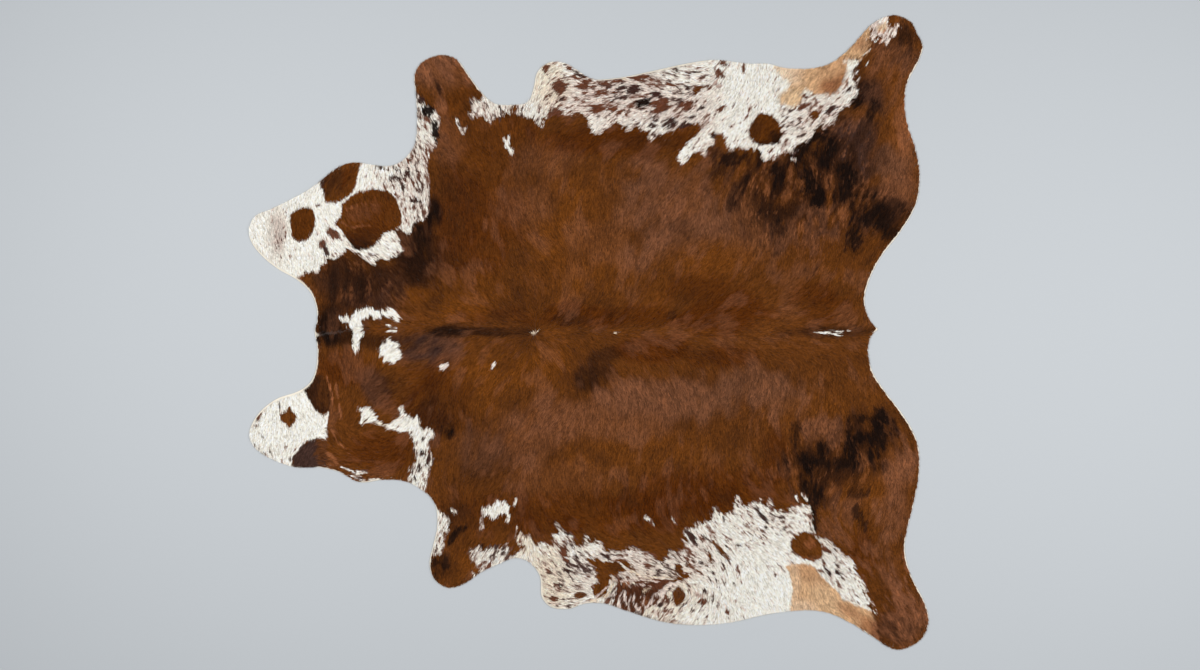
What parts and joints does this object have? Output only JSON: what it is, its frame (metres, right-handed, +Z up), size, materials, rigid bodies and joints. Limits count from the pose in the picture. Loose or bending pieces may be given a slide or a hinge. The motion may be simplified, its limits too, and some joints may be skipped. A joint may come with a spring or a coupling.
{
  "type": "cowhide rug",
  "caption": "Whole hair-on cowhide rug laid flat, with the natural neck, leg, flank and tail outline, brown coat with white, tan and black markings.",
  "frame": {"origin": "middle of the outer box of the hide, on the plane of the flesh side, which lies on the floor", "axes": "+X along the backbone from the neck to the tail, +Y to the animal's right side, +Z up out of the hair side"},
  "size_m": [2.177, 2.033, 0.0086],
  "materials": {
    "hair_coat": "short glossy cattle hair lying flat, brown with white, tan and black markings",
    "hide_leather": "undyed tanned skin, cream at the trimmed edge and napped like suede underneath"
  },
  "bodies": {
    "root": {"hide": "hair_coat"}
  },
  "joints": []
}
